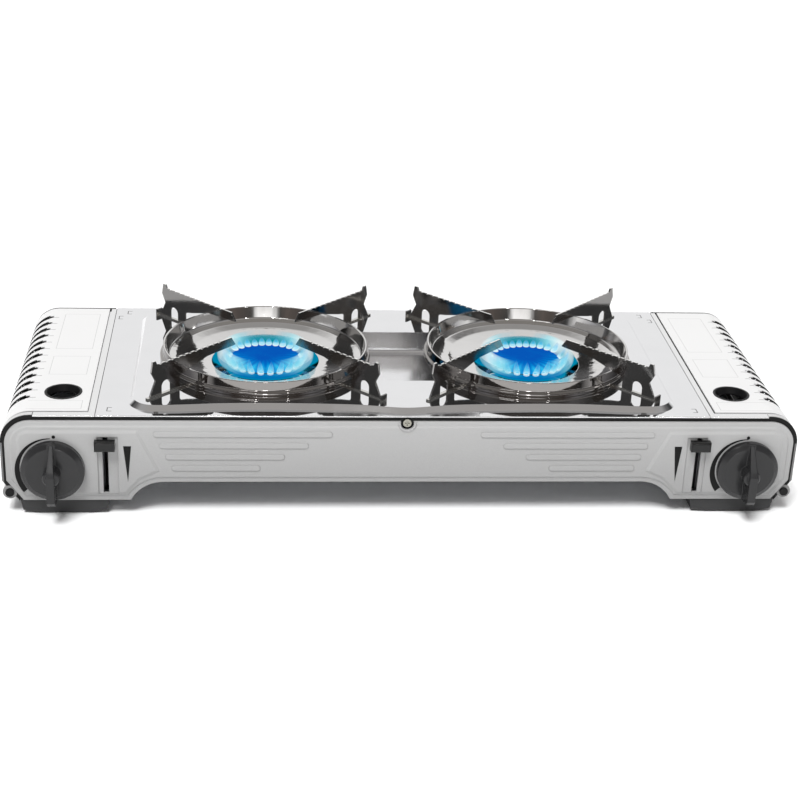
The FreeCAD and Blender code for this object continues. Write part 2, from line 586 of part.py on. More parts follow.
def gas_jet():
    """Brass jet on the end of the gas pipe."""
    body = rod((JET_X, BODY_MID_Y, MIX_TUBE_Z), (1, 0, 0), 5.5, 8)
    nose = Part.makeCone(2.2, 5.5, 5, V(JET_X - 5, BODY_MID_Y, MIX_TUBE_Z), V(1, 0, 0))
    bores = [rod((JET_X + 5, BODY_MID_Y, MIX_TUBE_Z), (1, 0, 0), PIPE_R, 5),
             rod((JET_X - 6, BODY_MID_Y, MIX_TUBE_Z), (1, 0, 0), 0.6, 12)]
    return fused([body, nose]).cut(bores)


def burner_body():
    """Cast burner on the right: neck, flared head and a mixing tube with a bell mouth."""
    wall, base_z, head_z, top_z = 2.5, 44, 78, 88
    cup = [(0, base_z), (BURNER_NECK_R, base_z), (BURNER_NECK_R, head_z), (BURNER_HEAD_R, head_z + 6),
           (BURNER_HEAD_R, top_z), (0, top_z)]
    body = turned(cup, BURNER_X, BODY_MID_Y)
    tube = rod((BURNER_X, BODY_MID_Y, MIX_TUBE_Z), (1, 0, 0), MIX_TUBE_R, MIX_TUBE_REACH)
    mouth_at = V(BURNER_X + MIX_TUBE_REACH, BODY_MID_Y, MIX_TUBE_Z)
    bell = Part.makeCone(MIX_TUBE_R, MIX_TUBE_R + 3, 8, mouth_at, V(1, 0, 0))
    body = fused([body, tube, bell])
    inner_r, rim_r = BURNER_NECK_R - wall, BURNER_HEAD_R - 3
    well = [(0, base_z + 2), (inner_r, base_z + 2), (inner_r, head_z + 0.6), (rim_r, head_z + 7.5),
            (rim_r, top_z + 2), (0, top_z + 2)]
    bore_r = MIX_TUBE_R - wall
    bore = rod((BURNER_X, BODY_MID_Y, MIX_TUBE_Z), (1, 0, 0), bore_r, MIX_TUBE_REACH)
    mouth = Part.makeCone(bore_r, bore_r + 4, 9, mouth_at - V(0.5, 0, 0), V(1, 0, 0))
    return body.cut([turned(well, BURNER_X, BODY_MID_Y), bore, mouth])


def burner_cap():
    """Cap of the right burner: slotted skirt and dished top with a ring of inner ports."""
    r = BURNER_HEAD_R
    profile = [(0, 90.2), (r - 8, 90.2), (r - 3.2, 88), (r + 0.5, 88), (r + 0.5, 91.2), (r - 1.8, 93),
               (r - 7, 93), (r - 10, 91.4), (0, 91.4)]
    cap = turned(profile, BURNER_X, BODY_MID_Y)
    ports = []
    for index in range(24):
        a = math.radians(index * 15 + 7.5)
        direction = (math.cos(a), math.sin(a), 0)
        start = (BURNER_X + (r - 2) * direction[0], BODY_MID_Y + (r - 2) * direction[1], 89.6)
        ports.append(rod(start, direction, 0.9, 4))
    return cap.cut(ports)


def burner_bracket():
    """Stand that holds the right burner above the raised middle of the tray floor."""
    floor_z = ARCH_Z + ARCH_R + TRAY_INSET + SHEET
    base = box(BURNER_X - 24, BURNER_X + 24, 3, 23, floor_z, floor_z + 1.5)
    pillar = turned([(0, floor_z), (9, floor_z), (9, 44), (0, 44)], BURNER_X, BODY_MID_Y)
    return fused([base, pillar])


def burner_brackets():
    return Part.makeCompound(both(burner_bracket()))


def electrode_at(side):
    a = math.radians(ELECTRODE_ANGLE)
    return side * (BURNER_X + ELECTRODE_R * math.cos(a)), BODY_MID_Y + ELECTRODE_R * math.sin(a)


def electrode():
    """Right spark electrode: ceramic sleeve with a flange on the recess floor and a wire tip."""
    x, y = electrode_at(1)
    ceramic = turned([(0, 58), (2.6, 58), (2.6, 75), (4.8, 75), (4.8, 77), (2.6, 77), (2.6, 84), (0, 84)],
                     x, y)
    tip = rod((x, y, 84), (0, 0, 1), 0.9, 5)
    return fused([ceramic, tip])


def igniter():
    """Piezo igniter box behind the front panel, right-hand side."""
    y0 = TRAY_Y[0] + SHEET
    case = box(206, 226, y0, -78, 41, 57)
    plunger = rod((216, -78, 49), (0, 1, 0), 4, 4)
    return fused([case, plunger])


def spark_lead():
    """Insulated lead from the right igniter to the electrode."""
    x, y = electrode_at(1)
    low_z = 39
    route = [(216, -74, 49), (216, -60, 49), (216, -46, low_z), (x, -30, low_z), (x, y, low_z), (x, y, 58)]
    return bent_pipe(route, 1.3, 5.0)


def lock_handle():
    """Black T-shaped tab on the right cartridge lever, with a neck through the panel slot."""
    half_w, half_h = LEVER_TAB
    tab = box(LEVER_X - half_w, LEVER_X + half_w, *LEVER_TAB_Y, LEVER_Z - half_h, LEVER_Z + half_h)
    front = [e for e in tab.Edges if e.BoundBox.YMax < LEVER_TAB_Y[0] + 0.1]
    tab = tab.makeFillet(1.6, front)
    neck = box(LEVER_X - 1.6, LEVER_X + 1.6, LEVER_TAB_Y[1], BLADE_FRONT_Y, LEVER_Z - 3.8, LEVER_Z + 3.8)
    return fused([tab, neck])


def lock_slide():
    """Steel blade of the right lever, guided behind the panel, with the pin that works the cam."""
    blade = box(LEVER_X - 0.75, LEVER_X + 0.75, BLADE_FRONT_Y, LEVER_PIN_Y + 3.5,
                LEVER_Z - 4.5, LEVER_Z + 4.5)
    pin = rod((LEVER_X, LEVER_PIN_Y, LEVER_Z), (1, 0, 0), LEVER_PIN_R, 5.6)
    return fused([blade, pin])


def lever_guide():
    """Channel behind the tray's front wall in which the right lever blade runs."""
    y0 = TRAY_Y[0] + SHEET
    guide = box(LEVER_X - 2.6, LEVER_X + 2.6, y0, -97.4, 18, 80)
    return guide.cut(box(LEVER_X - 1.1, LEVER_X + 1.1, y0 - 1, -96, LEVER_SLOT_Z[0] - 1, 76))


def lever_guides():
    return Part.makeCompound(both(lever_guide()))


def push_rod():
    """Right cartridge pusher: cam plate, long flat rod and the plate behind the cartridge."""
    low_z = LEVER_Z - LEVER_TRAVEL
    cam = box(*ROD_X, -98.4, -82, 22, 76)
    bar = box(*ROD_X, -98.4, 127.5, 38, 46)
    arm = box(ROD_X[0], 272, 126, 127.5, 38, 46)
    plate = box(270, 328, 126, 127.5, 22, 76)
    plate = plate.makeFillet(8, [e for e in plate.Edges if e.BoundBox.YLength > 1 and
                                 e.BoundBox.XLength < 1 and e.BoundBox.ZLength < 1])
    body = fused([cam, bar, arm, plate])
    half = LEVER_PIN_R + 0.3
    length = math.hypot(PUSHER_TRAVEL, LEVER_TRAVEL)
    ny, nz = half * LEVER_TRAVEL / length, half * PUSHER_TRAVEL / length
    end_y = LEVER_PIN_Y + PUSHER_TRAVEL
    slot = prism_yz([(LEVER_PIN_Y - ny, LEVER_Z - nz), (LEVER_PIN_Y + ny, LEVER_Z + nz),
                     (end_y + ny, low_z + nz), (end_y - ny, low_z - nz)], 255, 259)
    ends = [rod((255, y, z), (1, 0, 0), half, 4) for y, z in ((LEVER_PIN_Y, LEVER_Z), (end_y, low_z))]
    return body.cut([slot] + ends)


def rod_guides():
    """Four slotted blocks on the tray floor that carry the two push rods."""
    blocks = []
    for y in (-50.0, 85.0):
        block = box(251.5, 261.5, y, y + 3, FLOOR_Z, 52)
        block = block.cut(box(ROD_X[0] - 0.4, ROD_X[1] + 0.4, y - 1, y + 4, 37.6, 46.4))
        blocks += both(block)
    return Part.makeCompound(blocks)


# ---------------------------------------------------------------- pan supports
def drip_bowl(x):
    """Stepped bowl with an open middle; its foot ring sits on the platform."""
    seat = BOWL_SEAT_Z
    rim = BOWL_RIM_Z
    hole = BOWL_HOLE_R
    profile = [(91.6, rim - 0.6), (91.6, seat + 4.2), (94.2, seat + 3.0), (94.2, seat), (83.6, seat),
               (80.2, seat - 0.8), (72.0, 91.4), (hole + 2, 90.3), (hole, 89.4),
               (hole, 90.6), (hole + 2, 91.4), (71.8, 92.5), (79.8, seat + 0.3), (86.8, seat + 1.2),
               (89.6, rim - 0.6), (90.2, rim), (91.0, rim)]
    bowl = turned(profile, x, BODY_MID_Y)
    a = math.radians(150)
    start = (x + 80 * math.cos(a), BODY_MID_Y + 80 * math.sin(a), 101.5)
    return bowl.cut(rod(start, (math.cos(a), math.sin(a), 0), 2.6, 20))


def arm_profile():
    """Side view of a pan arm as (radius, z) points, with the fine teeth along its top."""
    teeth = []
    first, last, pitch = 58.0, 126.0, 6.8
    count = int((last - first) / pitch)
    for index in range(count + 1):
        r = first + index * pitch
        teeth += [(r - 1.6, ARM_TOP_Z), (r - 0.6, ARM_TOP_Z - 0.9),
                  (r + 0.6, ARM_TOP_Z - 0.9), (r + 1.6, ARM_TOP_Z)]
    horn = [(130.0, ARM_TOP_Z + 0.4), (131.4, ARM_HORN_Z), (134.8, ARM_HORN_Z)]
    top = [(38.0, 116.5), (43.0, ARM_TOP_Z)] + teeth + horn
    outer = [(136.6, 118.0), (132.2, 109.5), (136.6, 101.0), (139.5, BOWL_SEAT_Z)]
    under = [(105.0, BOWL_SEAT_Z), (105.0, 105.0), (103.0, 107.2), (95.5, 108.8), (86.0, 111.4),
             (72.0, 115.0), (42.0, 116.0)]
    return top + outer + under


def pan_arm(x, angle):
    """One upright pan arm with its foot strip, turned to its place round the burner."""
    half = ARM_SHEET / 2
    wire = Part.makePolygon([V(r, -half, z) for r, z in arm_profile() + arm_profile()[:1]])
    blade = Part.Face(wire).extrude(V(0, ARM_SHEET, 0))
    window = fused([box(115, 125.5, -2, 2, BOWL_SEAT_Z + 1.5, 102),
                    rod((120.25, -2, 102), (0, 1, 0), 5.25, 4)])
    parts = [blade.cut(window), box(94.0, 142.5, -half, half + 1.5, BOWL_SEAT_Z, BOWL_SEAT_Z + 1.5)]
    if angle in TAB_ANGLES:
        parts.append(box(141.0, 142.5, -3.5, 3.5, BOWL_SEAT_Z, BOWL_SEAT_Z + 5.5))
    arm = fused(parts)
    arm.rotate(V(0, 0, 0), V(0, 0, 1), angle)
    arm.translate(V(x, BODY_MID_Y, 0))
    return arm


# ---------------------------------------------------------------- marks and screws
def dial_marks():
    """Generic raised marks: a dot and a growing crescent per knob, a wedge per lever."""
    y0, y1 = PANEL_FACE_Y - 0.15, PANEL_FACE_Y
    marks = []
    for side in (-1, 1):
        x = side * KNOB_X
        marks.append(rod((side * 295, y0, 73.4), (0, 1, 0), 1.5, y1 - y0))
        steps = 24
        inner, outer = [], []
        for index in range(steps + 1):
            share = index / steps
            a = math.radians(93 + TAP_OPENING * share)
            r_in, r_out = 27.6, 28.2 + 5.2 * share
            inner.append((x + r_in * math.cos(a), KNOB_Z + r_in * math.sin(a)))
            outer.append((x + r_out * math.cos(a), KNOB_Z + r_out * math.sin(a)))
        marks.append(prism_xz(outer + inner[::-1], y0, y1))
        wedge_x = side * 234.6
        marks.append(prism_xz([(wedge_x - 3.3, 65), (wedge_x + 3.3, 65), (wedge_x, 31.5)], y0, y1))
    return Part.makeCompound(marks)


def screw(x, y, z, toward):
    """Pan-head screw whose head lies at y and whose shank points along toward (+1 or -1 in Y)."""
    head = rod((x, y - toward * SCREW_HEAD_H, z), (0, toward, 0), SCREW_HEAD_R, SCREW_HEAD_H)
    shank = rod((x, y, z), (0, toward, 0), SCREW_SHANK_R, 2.2 if toward > 0 else 1.2)
    slot_y = y - toward * 1.4
    cross = [box(x - long, x + long, slot_y - 0.5, slot_y + 0.5, z - wide, z + wide)
             for long, wide in ((2.2, 0.4), (0.4, 2.2))]
    return fused([head, shank]).cut(cross)


def panel_screws():
    front = screw(0, FRAME_FRONT_Y[0], FRONT_SCREW_Z, 1)
    rear = [screw(x, REAR_FACE_Y, REAR_SCREW_Z, -1) for x in (-REAR_SCREW_X, REAR_SCREW_X)]
    return Part.makeCompound([front] + rear)


# ---------------------------------------------------------------- all nodes
def nodes():
    table = {
        "base_tray": base_tray(), "front_panel": front_panel(), "rear_panel": rear_panel(),
        "end_frame_front": end_frame_front(),
        "end_frame_rear": end_frame(*FRAME_REAR_Y, PLATE_HALF_W + 1.3),
        "top_plate": top_plate(), "rod_guides": rod_guides(), "dial_marks": dial_marks(),
        "panel_screws": panel_screws(), "feet": feet(), "lever_guides": lever_guides(),
        "burner_brackets": burner_brackets(),
    }
    pairs = {
        "heat_shield": heat_shield(), "cartridge_cradle": cartridge_cradle(),
        "hinge_pin": hinge_pin(), "lid": lid(), "lid_collar": lid_collar(),
        "regulator": regulator(), "gas_pipe": gas_pipe(), "gas_jet": gas_jet(),
        "burner_body": burner_body(), "burner_cap": burner_cap(), "electrode": electrode(),
        "igniter": igniter(), "spark_lead": spark_lead(), "lock_handle": lock_handle(),
        "lock_slide": lock_slide(), "push_rod": push_rod(),
    }
    for name, shape in pairs.items():
        table[name + "_right"] = shape
        table[name + "_left"] = mirrored(shape)
    for side, word in ((-1, "left"), (1, "right")):
        table["knob_" + word] = knob(side * KNOB_X)
        table["spindle_" + word] = spindle(side * KNOB_X)
        table["drip_bowl_" + word] = drip_bowl(side * BURNER_X)
        for number, angle in enumerate(ARM_ANGLES, 1):
            table["pan_arm_%s_%d" % (word, number)] = pan_arm(side * BURNER_X, angle)
    return table


os.makedirs("parts", exist_ok=True)
total = Part.makeCompound([])
for node, shape in nodes().items():
    if not shape.isValid() or shape.Volume <= 0:
        print("BAD", node, shape.isValid(), shape.Volume)
    shape.exportStep("parts/" + node + ".step")
    total = Part.makeCompound([total, shape])
bounds = total.BoundBox
print("bounds", bounds.XMin, bounds.XMax, bounds.YMin, bounds.YMax, bounds.ZMin, bounds.ZMax)
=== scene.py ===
import json
import math

import bmesh
import bpy
from mathutils import Matrix, Vector

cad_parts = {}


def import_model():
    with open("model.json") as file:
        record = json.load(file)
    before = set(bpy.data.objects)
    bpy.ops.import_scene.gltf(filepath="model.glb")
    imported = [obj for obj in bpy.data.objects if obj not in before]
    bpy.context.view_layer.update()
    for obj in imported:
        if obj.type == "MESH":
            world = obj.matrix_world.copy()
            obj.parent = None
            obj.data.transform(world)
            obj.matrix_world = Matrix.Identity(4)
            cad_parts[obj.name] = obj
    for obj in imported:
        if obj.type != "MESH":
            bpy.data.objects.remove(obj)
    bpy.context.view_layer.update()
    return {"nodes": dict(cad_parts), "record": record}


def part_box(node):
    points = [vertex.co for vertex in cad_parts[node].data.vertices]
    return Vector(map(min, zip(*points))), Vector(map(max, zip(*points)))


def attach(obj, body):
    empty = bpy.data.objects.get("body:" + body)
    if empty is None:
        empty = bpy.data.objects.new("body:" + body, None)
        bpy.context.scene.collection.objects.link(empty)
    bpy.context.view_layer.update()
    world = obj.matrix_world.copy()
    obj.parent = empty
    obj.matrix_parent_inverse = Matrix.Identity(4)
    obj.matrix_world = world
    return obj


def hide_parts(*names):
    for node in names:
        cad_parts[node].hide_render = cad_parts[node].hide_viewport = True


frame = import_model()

MM = 0.001
SIDES = (("left", -1), ("right", 1))

# ---------------------------------------------------------------- places, read from the frame
BOWL_LOW, BOWL_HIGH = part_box("drip_bowl_right")
BURNER_X = (BOWL_LOW.x + BOWL_HIGH.x) / 2
BURNER_Y = (BOWL_LOW.y + BOWL_HIGH.y) / 2
PLATFORM_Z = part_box("pan_arm_right_1")[0].z      # the arms' feet stand on the platform
BOWL_RIM_Z = BOWL_HIGH.z
LID_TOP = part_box("lid_right")[1].z
PANEL_LOW, PANEL_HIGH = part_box("front_panel")

# ---------------------------------------------------------------- right half, mirrored on the left
LID_AXIS_X = 300 * MM    # line inside a lid: a face that looks towards it is an inner face
LID_AXIS_Z = 50 * MM
LID_FIELDS = (((291.75 * MM, 78.0 * MM), (16.25 * MM, 43.0 * MM)),
              ((291.75 * MM, -3.5 * MM), (16.25 * MM, 20.5 * MM)),
              ((297.0 * MM, -88.5 * MM), (23.5 * MM, 8.5 * MM)))    # middle and half size of each blank field
FIELD_LINE = 0.22 * MM
VENT_PITCH = 15.5 * MM
VENT_HALF = 3.2 * MM
VENT_EDGE_Y = 115.0 * MM - VENT_HALF - VENT_PITCH
VENT_CREASE = 0.05       # width of the crease's painted shade as part of the pitch
VENT_CREASE_X = (313.5 * MM, 321 * MM)
VENT_CREASE_Y = (-78 * MM, 113 * MM)
VENT_LAND = (0.493, 0.92)    # parts of the pitch: the plain land between two vents' bands of painted shade
VENT_SHADE_X = 322.3 * MM
VENT_SHADE_Y = (-75.4 * MM, 119.4 * MM)
VENT_SHADE_Z = 58 * MM
TROUGH_HALF_X = 62 * MM
SLIT_PLACES = ((247.5 * MM, 126 * MM), (255.0 * MM, 113 * MM), (249.5 * MM, -98 * MM))
SLIT_HALF = (2.2 * MM, 3.6 * MM)
SLIT_LINE = 0.35 * MM
SLIT_OPEN_X = 1.6 * MM   # the bracket's fourth side lies further in than this and is left off
FOOT_STRIP_TOP = PLATFORM_Z + 1.7 * MM
ARM_RIDGE_Z = 112 * MM
HINGE = (334 * MM, 20 * MM)
HINGE_EAR_R = 6.1 * MM
FRAME_RIM_X = 338.3 * MM
FRAME_RIM_TOP_Z = 66 * MM
LID_REST_Y = (-109.3 * MM, -100 * MM)
LID_INNER = -4 * MM      # a face that leans further than this towards the lid's line is an inner face
TOP_LAYER = 0.3 * MM     # a point this little below a lid's top still counts as lying on it
TROUGH_BELOW = 0.5 * MM  # a point further than this below the platform lies in the sunken part

# ---------------------------------------------------------------- noise, as scale per metre and detail
METAL_CLOUDS = (35.0, 4.0)
METAL_GRAIN = (900.0, 2.0)
PLASTIC_CLOUDS = (60.0, 3.0)
PLASTIC_GRAIN = (2600.0, 2.0)
PLASTIC_SHADE = 0.8      # the darkest patches of a moulding as a part of its colour
ENAMEL_CLOUDS = (12.0, 4.0)
ENAMEL_PEEL = (420.0, 1.5)
ENAMEL_FLECKS = (3200.0, 1.0)
BRUSHING = (700.0, 2.0)
DRAWN_STREAKS = (75.0, 2.0)
FLICKER = (90.0, 2.0)
PAPER_CLOUDS = (2.0, 2.0)

# ---------------------------------------------------------------- bowls and flames, sizes in mm
BOWL_SEGMENTS = 144
DRILL_R, DRILL_ANGLE, DRILL_BELOW_RIM = 2.6, math.radians(150), 6.1
DRILL_REACH, DRILL_DEPTH = 90, 20
JET_COUNT = 24
JET_LONG, JET_SHORT = 16.5, 7.0      # front jets are drawn out, rear jets stay low
JET_WIDTH = 3.1
JET_FOOT_R, JET_FOOT_Z = 31.6, 88.6
JET_LEAN = 6.5
JET_STEP_IN, JET_STEP_UP = 8.0, 6.2  # rear jets spread over the top of the cap
JET_SWAY = 0.06
JET_AROUND, JET_ALONG = 12, 14
SKIRT_PROFILE = ((30.6, 89.2), (34, 89.2), (38, 89.3), (42, 89.6), (45, 90.0), (47.9, 90.5))
CORE_PROFILE = ((0.2, 94.6), (8, 94.6), (15, 94.5), (21, 94.3), (25, 94.1), (28, 93.8), (30.2, 93.2),
                (30.5, 90))
HALO_RING = (37.5, 6.0, 8.0, 96.5)   # ring radius, half thickness, half height, z
VEIL_RING = (38.5, 6.5, 4.5, 94.5)

# ---------------------------------------------------------------- studio, in metres
CAMERA_PLACE = (-0.12745, -1.39848, 0.6822)
CAMERA_YAW, CAMERA_PITCH, CAMERA_ROLL = math.radians(5.35), math.radians(24.01), math.radians(2.37)
SENSOR_WIDTH, LENS = 36.0, 75.87                 # mm
CAMERA_REACH = 50.0
FLOOR_HALF = 30.0
FLOOR_Z = -0.0002
# where one band of the surroundings gives way to the next, as the sine of the elevation
HORIZON_TOP, BRIGHT_BACK_TOP, MIDDLE_TOP, ZENITH = (0.26, 0.36), (0.48, 0.57), (0.62, 0.78), (0.84, 0.95)
SUN_TOWARD, SUN_POWER, SUN_SOFTNESS = (0.28, 0.62, -1.25), 3.1, math.radians(24.0)
STRIP_LIGHTS = (                                 # name, place, width and height, power
    ("low_strip", (-0.15, -3.6, 0.60), (0.28, 0.9), 9.0),
    ("high_strip", (-0.9, -1.6, 2.6), (0.7, 0.5), 5.0),
    ("left_glint", (-0.55, -2.28, 2.13), (0.07, 0.45), 2.6),
    ("right_glint", (0.96, -2.19, 2.13), (0.07, 0.45), 2.6),
)


# ---------------------------------------------------------------- node material helpers
def grey(value):
    return (value,) * 3


class Tree:
    """Short calls for one node tree."""

    def __init__(self, tree, output):
        self.tree = tree
        tree.nodes.clear()
        self.out = tree.nodes.new(output)

    def node(self, kind, **values):
        made = self.tree.nodes.new(kind)
        for key, value in values.items():
            if key in made.inputs:
                made.inputs[key].default_value = value
            else:
                setattr(made, key, value)
        return made

    def link(self, source, target):
        self.tree.links.new(source, target)

    def coords(self, scale=(1, 1, 1)):
        tex = self.node("ShaderNodeTexCoord")
        mapping = self.node("ShaderNodeMapping")
        mapping.inputs["Scale"].default_value = scale
        self.link(tex.outputs["Object"], mapping.inputs["Vector"])
        return mapping.outputs["Vector"]

    def axis(self, name, of="Object"):
        tex = self.node("ShaderNodeTexCoord")
        split = self.node("ShaderNodeSeparateXYZ")
        self.link(tex.outputs[of], split.inputs["Vector"])
        return split.outputs[name]

    def math(self, operation, first, second=None):
        """One math node; numbers are set on its sockets, anything else is linked."""
        made = self.node("ShaderNodeMath", operation=operation)
        for socket, value in zip(made.inputs, (first, second)):
            if isinstance(value, (int, float)):
                socket.default_value = value
            elif value is not None:
                self.link(value, socket)
        return made.outputs[0]

    def both(self, *masks):
        """Mask that is 1 only where all the given masks are."""
        result = masks[0]
        for mask in masks[1:]:
            result = self.math("MULTIPLY", result, mask)
        return result

    def between(self, value, low, high):
        """Mask of the places where the value lies between two limits."""
        return self.both(self.math("GREATER_THAN", value, low), self.math("LESS_THAN", value, high))

    def frame_lines(self, u, v, middle, half_size, half_line):
        """Mask of a thin rectangular outline in the (u, v) plane."""
        gaps = [self.math("SUBTRACT", self.math("ABSOLUTE", self.math("SUBTRACT", value, at)), half)
                for value, at, half in zip((u, v), middle, half_size)]
        return self.math("LESS_THAN", self.math("ABSOLUTE", self.math("MAXIMUM", *gaps)), half_line)

    def noise(self, vector, scale, detail):
        made = self.node("ShaderNodeTexNoise", Scale=scale, Detail=detail)
        self.link(vector, made.inputs["Vector"])
        return made.outputs["Fac"]

    def spread(self, value, low, high, from_low=0.3, from_high=0.7):
        made = self.node("ShaderNodeMapRange")
        for key, number in (("From Min", from_low), ("From Max", from_high),
                            ("To Min", low), ("To Max", high)):
            made.inputs[key].default_value = number
        self.link(value, made.inputs["Value"])
        return made.outputs["Result"]

    def mix(self, factor, first, second):
        made = self.node("ShaderNodeMix", data_type="RGBA")
        self.link(factor, made.inputs["Factor"])
        for socket, value in ((made.inputs[6], first), (made.inputs[7], second)):
            if isinstance(value, (tuple, list)):
                socket.default_value = (*value, 1.0)
            else:
                self.link(value, socket)
        return made.outputs[2]

    def ramp(self, value, *stops):
        """Colour ramp through (place, colour) stops."""
        made = self.node("ShaderNodeValToRGB")
        elements = made.color_ramp.elements
        elements.remove(elements[1])
        elements[0].position, elements[0].color = stops[0][0], (*stops[0][1], 1.0)
        for place, color in stops[1:]:
            elements.new(place).color = (*color, 1.0)
        self.link(value, made.inputs["Fac"])
        return made.outputs["Color"]

    def bump(self, height, strength, distance, edge=0.0):
        """Bump normal, over edges that look rounded by the edge radius."""
        made = self.node("ShaderNodeBump", Strength=strength, Distance=distance)
        self.link(height, made.inputs["Height"])
        if edge:
            rounded = self.node("ShaderNodeBevel", samples=6, Radius=edge)
            self.link(rounded.outputs["Normal"], made.inputs["Normal"])
        return made.outputs["Normal"]

    def finish(self, shader):
        self.link(shader.outputs[0], self.out.inputs["Surface"])


class Material(Tree):
    """A named material and its node tree."""

    def __init__(self, name):
        self.mat = bpy.data.materials.new(name)
        self.mat.use_nodes = True
        super().__init__(self.mat.node_tree, "ShaderNodeOutputMaterial")

    def finish(self, shader):
        super().finish(shader)
        return self.mat


def metal(name, color, rough, rough_spread, brushed=(1, 1, 1), bump=0.05, tint=0.94, edge=0.0):
    """Bare or plated metal: uneven roughness, faint colour drift, optional brushed grain."""
    b = Material(name)
    shader = b.node("ShaderNodeBsdfPrincipled", Metallic=1.0)
    wide = b.noise(b.coords(), *METAL_CLOUDS)
    fine = b.noise(b.coords(brushed), *METAL_GRAIN)
    b.link(b.mix(wide, [c * tint for c in color], color), shader.inputs["Base Color"])
    b.link(b.spread(wide, rough, rough + rough_spread), shader.inputs["Roughness"])
    b.link(b.bump(fine, bump, 0.00004, edge), shader.inputs["Normal"])
    return b.finish(shader)


def plastic_shader(b, color, rough, specular, grain, edge=0.0005):
    """Moulded plastic with a fine grain."""
    shader = b.node("ShaderNodeBsdfPrincipled")
    shader.inputs["Specular IOR Level"].default_value = specular
    wide = b.noise(b.coords(), *PLASTIC_CLOUDS)
    fine = b.noise(b.coords(), *PLASTIC_GRAIN)
    b.link(color, shader.inputs["Base Color"])
    b.link(b.spread(wide, rough, rough + 0.08), shader.inputs["Roughness"])
    b.link(b.bump(fine, grain, 0.00006, edge), shader.inputs["Normal"])
    return shader


def plastic(name, color, rough, specular=0.5, grain=0.25, edge=0.0005):
    b = Material(name)
    drift = b.mix(b.noise(b.coords(), *PLASTIC_CLOUDS), [c * PLASTIC_SHADE for c in color], color)
    return b.finish(plastic_shader(b, drift, rough, specular, grain, edge))


def enamel(b, color, rough, edge=0.0008):
    """Baked enamel on sheet steel: soft gloss, a trace of orange peel, rounded pressed edges."""
    shader = b.node("ShaderNodeBsdfPrincipled")
    shader.inputs["Coat Weight"].default_value = 0.2
    shader.inputs["Coat Roughness"].default_value = 0.15
    wide = b.noise(b.coords(), *ENAMEL_CLOUDS)
    peel = b.noise(b.coords(), *ENAMEL_PEEL)
    b.link(color, shader.inputs["Base Color"])
    b.link(b.spread(wide, rough - 0.04, rough + 0.05), shader.inputs["Roughness"])
    b.link(b.bump(peel, 0.12, 0.00005, edge), shader.inputs["Normal"])
    return shader


def panel_paint():
    """Light grey enamel, with painted shade that darkens it towards the lower edge."""
    b = Material("panel_enamel")
    height = b.spread(b.axis("Z"), 0.0, 1.0, PANEL_LOW.z, PANEL_HIGH.z)
    # painted shade: the grey darkens towards the panel's lower edge
    tone = b.ramp(height, (0.0, grey(0.245)), (0.75, grey(0.345)), (1.0, grey(0.375)))
    flecks = b.spread(b.noise(b.coords(), *ENAMEL_FLECKS), 0.0, 0.08)
    return b.finish(enamel(b, b.mix(flecks, tone, (1, 1, 1)), 0.36, edge=0.0012))


def lid_paint():
    """Near-white enamel with blank outlined fields; painted shade beside the vents, in their creases and on
    the inner faces.
    """
    b = Material("lid_enamel")
    side_x = b.math("ABSOLUTE", b.axis("X"))
    across = b.math("SUBTRACT", side_x, LID_AXIS_X)
    normal_x = b.math("MULTIPLY", b.math("SIGN", b.axis("X")), b.axis("X", "Normal"))
    outward_x = b.math("MULTIPLY", across, normal_x)
    outward_z = b.math("MULTIPLY", b.math("SUBTRACT", b.axis("Z"), LID_AXIS_Z), b.axis("Z", "Normal"))
    inside = b.math("LESS_THAN", b.math("ADD", outward_x, outward_z), LID_INNER)
    wide = b.noise(b.coords(), *ENAMEL_CLOUDS)
    tone = b.mix(wide, grey(0.70), grey(0.74))
    on_top = b.math("GREATER_THAN", b.axis("Z"), LID_TOP - TOP_LAYER)
    for middle, half_size in LID_FIELDS:
        lines = b.frame_lines(side_x, b.axis("Y"), middle, half_size, FIELD_LINE)
        tone = b.mix(b.both(lines, on_top), tone, grey(0.46))
    row = b.math("FRACT", b.math("DIVIDE", b.math("SUBTRACT", b.axis("Y"), VENT_EDGE_Y), VENT_PITCH))
    # painted shade: a dark line along each vent's pressed crease
    crease = b.both(b.math("LESS_THAN", row, VENT_CREASE), b.between(side_x, *VENT_CREASE_X),
                    b.between(b.axis("Y"), *VENT_CREASE_Y))
    tone = b.mix(crease, tone, grey(0.16))
    # painted shade: near-black bands beside each vent slot thicken its dark opening
    beside_vent = b.math("SUBTRACT", 1.0, b.between(row, *VENT_LAND))
    vent_shade = b.both(beside_vent, b.between(b.axis("Y"), *VENT_SHADE_Y),
                 b.math("GREATER_THAN", side_x, VENT_SHADE_X), b.math("GREATER_THAN", b.axis("Z"), VENT_SHADE_Z))
    tone = b.mix(vent_shade, tone, grey(0.015))
    # painted shade: the lid's inner faces are near black
    return b.finish(enamel(b, b.mix(inside, tone, grey(0.006)), 0.32))


